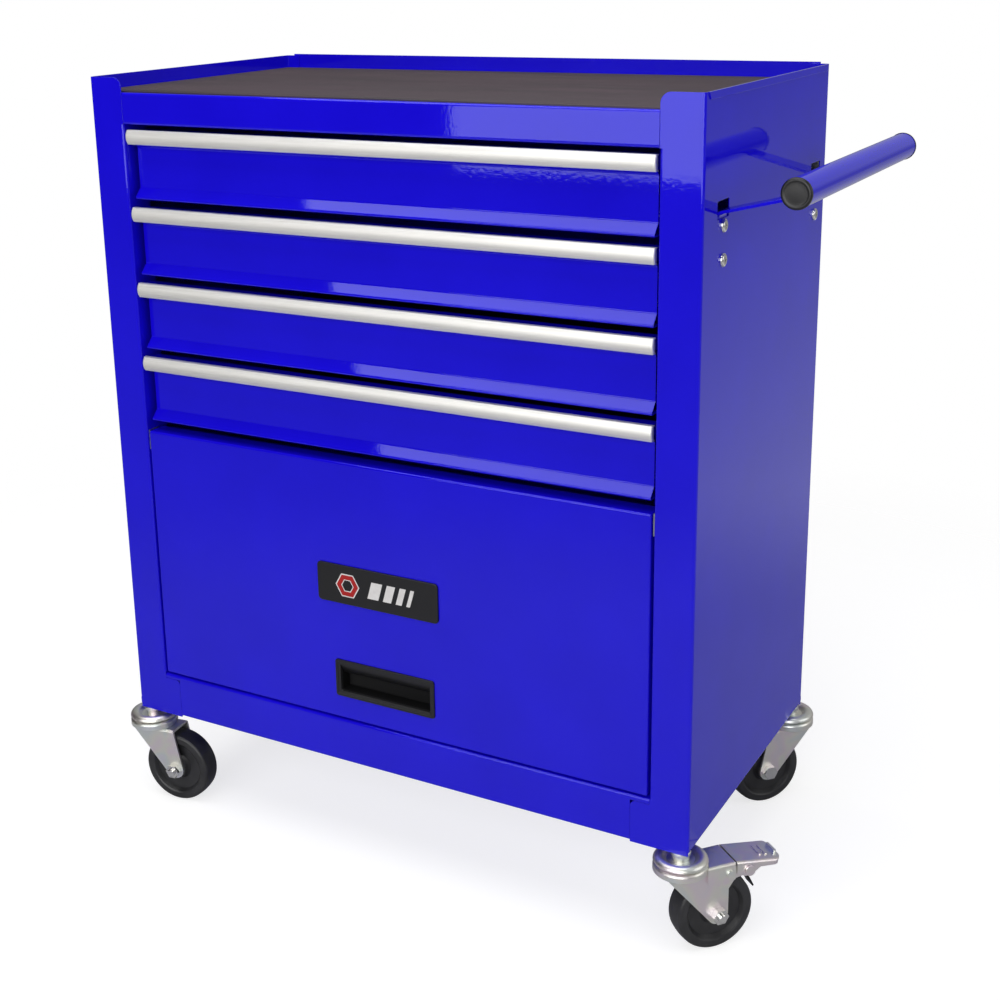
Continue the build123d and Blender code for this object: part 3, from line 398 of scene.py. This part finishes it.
def ribbed_top_mat():
    """Thin rubber sheet with low half-round ribs across the cart, one every 3 mm."""
    low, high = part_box("top_mat")
    pitch, rib_w, rib_h, border = 3.0 * mm, 1.9 * mm, 0.5 * mm, 2.5 * mm
    corner_r, sunk = 4 * mm, 0.1 * mm
    face = high.z - rib_h
    shape = bmesh.new()
    sheet = [(x, y, low.z) for x, y in round_corners(low.x, high.x, low.y, high.y, corner_r)]
    add_slab(shape, sheet, (0, 0, face - low.z))
    count = int((high.y - low.y - 2 * border) / pitch)
    first = (low.y + high.y - (count - 1) * pitch) / 2
    x0, x1 = low.x + border, high.x - border
    for i in range(count):
        y = first + i * pitch
        arch = [(x0, y - cos(radians(a)) * rib_w / 2, face - sunk + sin(radians(a)) * (rib_h + sunk))
                for a in range(0, 181, 30)]
        add_slab(shape, arch, (x1 - x0, 0, 0))
    add_piece("ribbed_top_mat", shape, slot_material["top_mat_rubber"], "cabinet", "top_mat_rubber",
              "top_mat")


def caster_race_rings():
    """Pressed upper races: a broad rolled rim round a dish, with the collar and stem standing in it."""
    rim_r, collar_r, stem_r = 24.5, 9.0, 4.0
    roll = [(9.6 - 5.2 * sin(radians(a)) ** 0.9, 19.3 + 5.2 * cos(radians(a))) for a in range(6, 160, 11)]
    for place in caster_places:
        low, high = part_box(f"caster_{place}_race")
        middle = (low + high) / 2
        base = Vector((middle.x, middle.y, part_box("side_panel_left")[0].z))
        outline = [(-12.0, 0), (-12.0, stem_r - 0.5), (-11.5, stem_r), (0.0, stem_r),
                   (0.0, collar_r - 0.6), (0.6, collar_r), (3.2, collar_r), (4.4, collar_r - 1.2),
                   (8.2, collar_r - 1.6), (8.4, 12.6)]
        outline += reversed(roll)
        outline += [(9.6, rim_r - 1.2), (9.6, 5.0), (21.5, 5.0), (21.5, 8.0), (23.5, 7.4), (23.5, 0)]
        shape = bmesh.new()
        add_lathe(shape, base, (0, 0, -1), outline)
        add_piece(f"caster_{place}_race_ring", shape, slot_material["bright_zinc_plate"], "cabinet",
                  "bright_zinc_plate", f"caster_{place}_race")


def handle_caps():
    """Moulded end caps: a plug inside the tube and a domed button with a raised lip and a sunk middle."""
    low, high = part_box("handle_end_caps")
    tube_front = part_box("handle_tube")[0].y
    middle = (low + high) / 2
    face = (tube_front - low.y) / mm
    button = [(face, 12.5), (1.9, 12.5), (1.0, 12.2), (0.35, 11.5), (0.1, 10.6), (0.15, 9.9), (0.55, 9.3),
              (0.62, 8.6), (0.45, 6.0), (0.3, 3.0), (0.25, 0)]
    plug = [(face + 12.0, 0), (face + 12.0, 9.6), (face + 11.2, 10.4), (face, 10.4)]
    for name, start, along in (("front", low.y, 1), ("rear", high.y, -1)):
        shape = bmesh.new()
        add_lathe(shape, (middle.x, start, middle.z), (0, along, 0), plug + button)
        stands_for = ("handle_end_caps",) if name == "front" else ()
        add_piece(f"handle_cap_{name}", shape, slot_material["black_moulded_plastic"], "cabinet",
                  "black_moulded_plastic", *stands_for)


def add_rings(shape, rings):
    """Skin over closed rings of as many points each, with a cap on the first and the last."""
    made = [[shape.verts.new(point) for point in ring] for ring in rings]
    for first, second in zip(made, made[1:]):
        for k in range(len(first)):
            n = (k + 1) % len(first)
            shape.faces.new((first[k], first[n], second[n], second[k]))
    shape.faces.new(made[0])
    shape.faces.new(made[-1])


def door_pull_moulding():
    """Recessed pull: a slim raised rim with a funnel inside it, a deep pocket through the door's hole
    and a slanted strip across the top of the pocket."""
    low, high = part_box("door_pull")
    back = (high.y - low.y) / mm

    def ring(inset, depth):
        corner = max(3.0 - inset, 1.2) * mm
        within = inset * mm
        loop = round_corners(low.x + within, high.x - within, low.z + within, high.z - within, corner)
        return [(x, low.y + depth * mm, z) for x, z in loop]

    # each step is (inset from the outline, depth behind the front), in mm
    rim_steps = ((5.9, 3.6), (5.15, 3.6), (5.15, 1.55), (0.0, 1.55), (0.0, 0.7), (0.2, 0.2), (0.7, 0.0),
                 (2.2, 0.0), (2.7, 0.25), (2.9, 0.7), (5.2, 1.35), (5.5, 2.0))
    rim = bmesh.new()
    loops = [[rim.verts.new(point) for point in ring(inset, depth)] for inset, depth in rim_steps]
    for first, second in zip(loops, loops[1:] + loops[:1]):
        for k in range(len(first)):
            n = (k + 1) % len(first)
            rim.faces.new((first[k], first[n], second[n], second[k]))
    top, side = high.z - 2.8 * mm, 2.8 * mm
    section = ((0.7, 0.0), (1.3, 2.5), (6.6, 12.6), (7.2, 13.0), (8.2, 12.6), (3.2, 2.7), (1.5, 2.2),
               (1.5, 0.0))
    strip = [(low.x + side, low.y + depth * mm, top - down * mm) for depth, down in section]
    add_slab(rim, strip, (high.x - low.x - 2 * side, 0, 0))
    add_piece("door_pull_rim", rim, slot_material["black_moulded_plastic"], "door", "black_moulded_plastic",
              "door_pull")
    pocket = bmesh.new()
    pocket_steps = ((5.9, back), (5.2, back - 0.6), (5.2, 3.7), (5.6, 3.65), (6.0, 3.9), (6.4, back - 2.0),
                    (7.2, back - 1.2))
    add_rings(pocket, [ring(inset, depth) for inset, depth in pocket_steps])
    # the pocket takes a darker copy of the rim's plastic: painted shade
    add_piece("door_pull_pocket", pocket, pocket_shade_black_plastic(), "door", "black_moulded_plastic")


def badge_emblem():
    """Plain emblem printed on the badge: a red hexagon ring with a pale edge on both sides, and four
    slanted pale bars that get narrower."""
    low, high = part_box("door_badge")
    depth = (0, 0.3 * mm, 0)
    front = low.y - 0.15 * mm
    middle_z = (low.z + high.z) / 2

    def hexagon(radius):
        return [(low.x + 34 * mm + radius * mm * cos(radians(a)), middle_z + radius * mm * sin(radians(a)))
                for a in range(0, 360, 60)]

    def add_ring(shape, outer, inner, lift):
        out, into = hexagon(outer), hexagon(inner)
        for k in range(6):
            n = (k + 1) % 6
            quad = [(x, front - lift * mm, z) for x, z in (out[k], out[n], into[n], into[k])]
            add_slab(shape, quad, depth)

    red, pale = bmesh.new(), bmesh.new()
    add_ring(red, 12.0, 7.0, 0.1)
    add_ring(pale, 13.3, 12.0, 0.0)
    add_ring(pale, 7.0, 6.0, 0.0)
    slant, bar_h, bar_gap = 5.0 * mm, 8.5 * mm, 5.0 * mm
    x = low.x + 56 * mm
    for bar_mm in (12.0, 9.0, 6.5, 4.0):
        bar_w = bar_mm * mm
        bar = [(x, -bar_h), (x + bar_w, -bar_h), (x + bar_w + slant, bar_h), (x + slant, bar_h)]
        add_slab(pale, [(bx, front, middle_z + bz) for bx, bz in bar], depth)
        x += bar_w + bar_gap
    add_piece("badge_red_ring", red, printed_ink("printed_red_ink", "#A31414", "#B01A18"), "door",
              "black_moulded_plastic")
    add_piece("badge_pale_marks", pale, printed_ink("printed_white_ink", "#D9D6D4", "#E4E2E0"), "door",
              "black_moulded_plastic")


ribbed_top_mat()
caster_race_rings()
handle_caps()
door_pull_moulding()
badge_emblem()

# ---------------------------------------------------------------- studio
paper_radius = 1.3


def area_light(name, place, aim, width, height, power):
    """Softbox: a rectangular lamp at place, facing aim, that the eye doesn't see but reflections do."""
    lamp = bpy.data.lights.new(name, "AREA")
    lamp.shape = "RECTANGLE"
    lamp.size, lamp.size_y = width, height
    lamp.energy = power
    box = bpy.data.objects.new(name, lamp)
    box.location = place
    box.rotation_mode = "QUATERNION"
    box.rotation_quaternion = (Vector(aim) - Vector(place)).to_track_quat("-Z", "Y")
    box.visible_camera = False
    scene.collection.objects.link(box)


def studio_floor():
    """Round sheet of white paper. The eye sees it bright; to the cabinet's reflections it is in dim light."""
    mesh = bpy.data.meshes.new("studio_floor")
    shape = bmesh.new()
    bmesh.ops.create_circle(shape, cap_ends=True, segments=96, radius=paper_radius)
    shape.to_mesh(mesh)
    shape.free()
    floor = bpy.data.objects.new("studio_floor", mesh)
    scene.collection.objects.link(floor)
    material, tree, place = new_material("white_paper")
    distance = add_node(tree, "ShaderNodeVectorMath", {0: place}, operation="LENGTH")
    fade = add_node(tree, "ShaderNodeMapRange", {"Value": distance.outputs["Value"],
                                                 "From Min": 0.55 * paper_radius, "From Max": paper_radius},
                    interpolation_type="SMOOTHSTEP")
    paper = add_node(tree, "ShaderNodeBsdfDiffuse", {"Color": linear("#B4B4B4")})
    glow = add_node(tree, "ShaderNodeEmission", {"Color": linear("#FFFFFF"), "Strength": 0.72})
    lit = add_node(tree, "ShaderNodeAddShader", {0: paper.outputs["BSDF"], 1: glow.outputs["Emission"]})
    dim = add_node(tree, "ShaderNodeBsdfDiffuse", {"Color": linear("#B8B8BA")})
    seen = add_node(tree, "ShaderNodeLightPath").outputs["Is Camera Ray"]
    sheet = add_node(tree, "ShaderNodeMixShader", {0: seen, 1: dim.outputs["BSDF"], 2: lit.outputs["Shader"]})
    clear = add_node(tree, "ShaderNodeBsdfTransparent")
    mixed = add_node(tree, "ShaderNodeMixShader", {0: fade.outputs["Result"], 1: sheet.outputs["Shader"],
                                                   2: clear.outputs["BSDF"]})
    add_node(tree, "ShaderNodeOutputMaterial", {"Surface": mixed.outputs["Shader"]})
    mesh.materials.append(material)


def studio_world():
    """White backdrop. In reflections the room is dark in front and lighter behind and to the right.
    It gets lighter towards the ground, and behind also overhead."""
    world = bpy.data.worlds.new("studio_world")
    world.use_nodes = True
    tree = world.node_tree
    tree.nodes.clear()
    direction = add_node(tree, "ShaderNodeTexCoord").outputs["Generated"]
    towards = add_node(tree, "ShaderNodeVectorMath", {0: direction, 1: (0.5, 0.85, 0.0)},
                       operation="DOT_PRODUCT")
    behind = add_node(tree, "ShaderNodeMapRange",
                      {"Value": towards.outputs["Value"], "From Min": -0.6, "From Max": 0.9},
                      interpolation_type="SMOOTHSTEP")
    height = add_node(tree, "ShaderNodeSeparateXYZ", {"Vector": direction})
    lift = add_node(tree, "ShaderNodeMapRange",
                    {"Value": height.outputs["Z"], "From Min": -0.5, "From Max": 0.5})
    front = blend_colours(tree, lift.outputs["Result"], (0.05, "#AAAAAA"), (0.40, "#3C3C3C"))
    back = blend_colours(tree, lift.outputs["Result"], (0.05, "#DADADA"), (0.25, "#ADADAD"),
                         (0.45, "#747474"), (0.60, "#A8A8A8"))
    around = add_node(tree, "ShaderNodeMixRGB",
                      {"Fac": behind.outputs["Result"], "Color1": front, "Color2": back})
    room = add_node(tree, "ShaderNodeBackground", {"Color": around.outputs["Color"], "Strength": 1.0})
    backdrop = add_node(tree, "ShaderNodeBackground", {"Color": linear("#FFFFFF"), "Strength": 1.0})
    seen = add_node(tree, "ShaderNodeLightPath").outputs["Is Camera Ray"]
    mixed = add_node(tree, "ShaderNodeMixShader", {0: seen, 1: room.outputs["Background"],
                                                   2: backdrop.outputs["Background"]})
    add_node(tree, "ShaderNodeOutputWorld", {"Surface": mixed.outputs["Shader"]})
    scene.world = world


def camera():
    """Eye-level product view from the front right, slightly above the cabinet's top."""
    azimuth, elevation, roll = radians(29.8), radians(15.69), radians(-1.17)
    back = Vector((sin(azimuth) * cos(elevation), -cos(azimuth) * cos(elevation), sin(elevation)))
    data = bpy.data.cameras.new("camera")
    data.sensor_width = 36.0
    data.lens = 55.49
    data.shift_x, data.shift_y = 0.0435, -0.110
    data.clip_start, data.clip_end = 0.05, 50.0
    eye = bpy.data.objects.new("camera", data)
    eye.location = centre + Vector((0.6918, -1.2797, 0.4791))
    eye.rotation_mode = "QUATERNION"
    eye.rotation_quaternion = (-back).to_track_quat("-Z", "Y") @ Quaternion((0, 0, 1), roll)
    scene.collection.objects.link(eye)
    scene.camera = eye


camera()
studio_floor()
studio_world()
area_light("front_softbox", (-0.82, -2.5, 1.27), (-0.82, 0.0, 1.27), 0.94, 1.88, 15)
area_light("front_fill", (0.75, -2.6, 1.2), (0.0, 0.0, 0.4), 2.2, 2.0, 42)
area_light("top_softbox", (-0.25, -0.45, 2.3), (-0.25, -0.45, 0.0), 2.1, 1.6, 28)
area_light("right_fill", (2.4, 0.3, 1.3), (0.2, 0.0, 0.35), 1.6, 1.6, 11)
scene.view_settings.view_transform = "Standard"
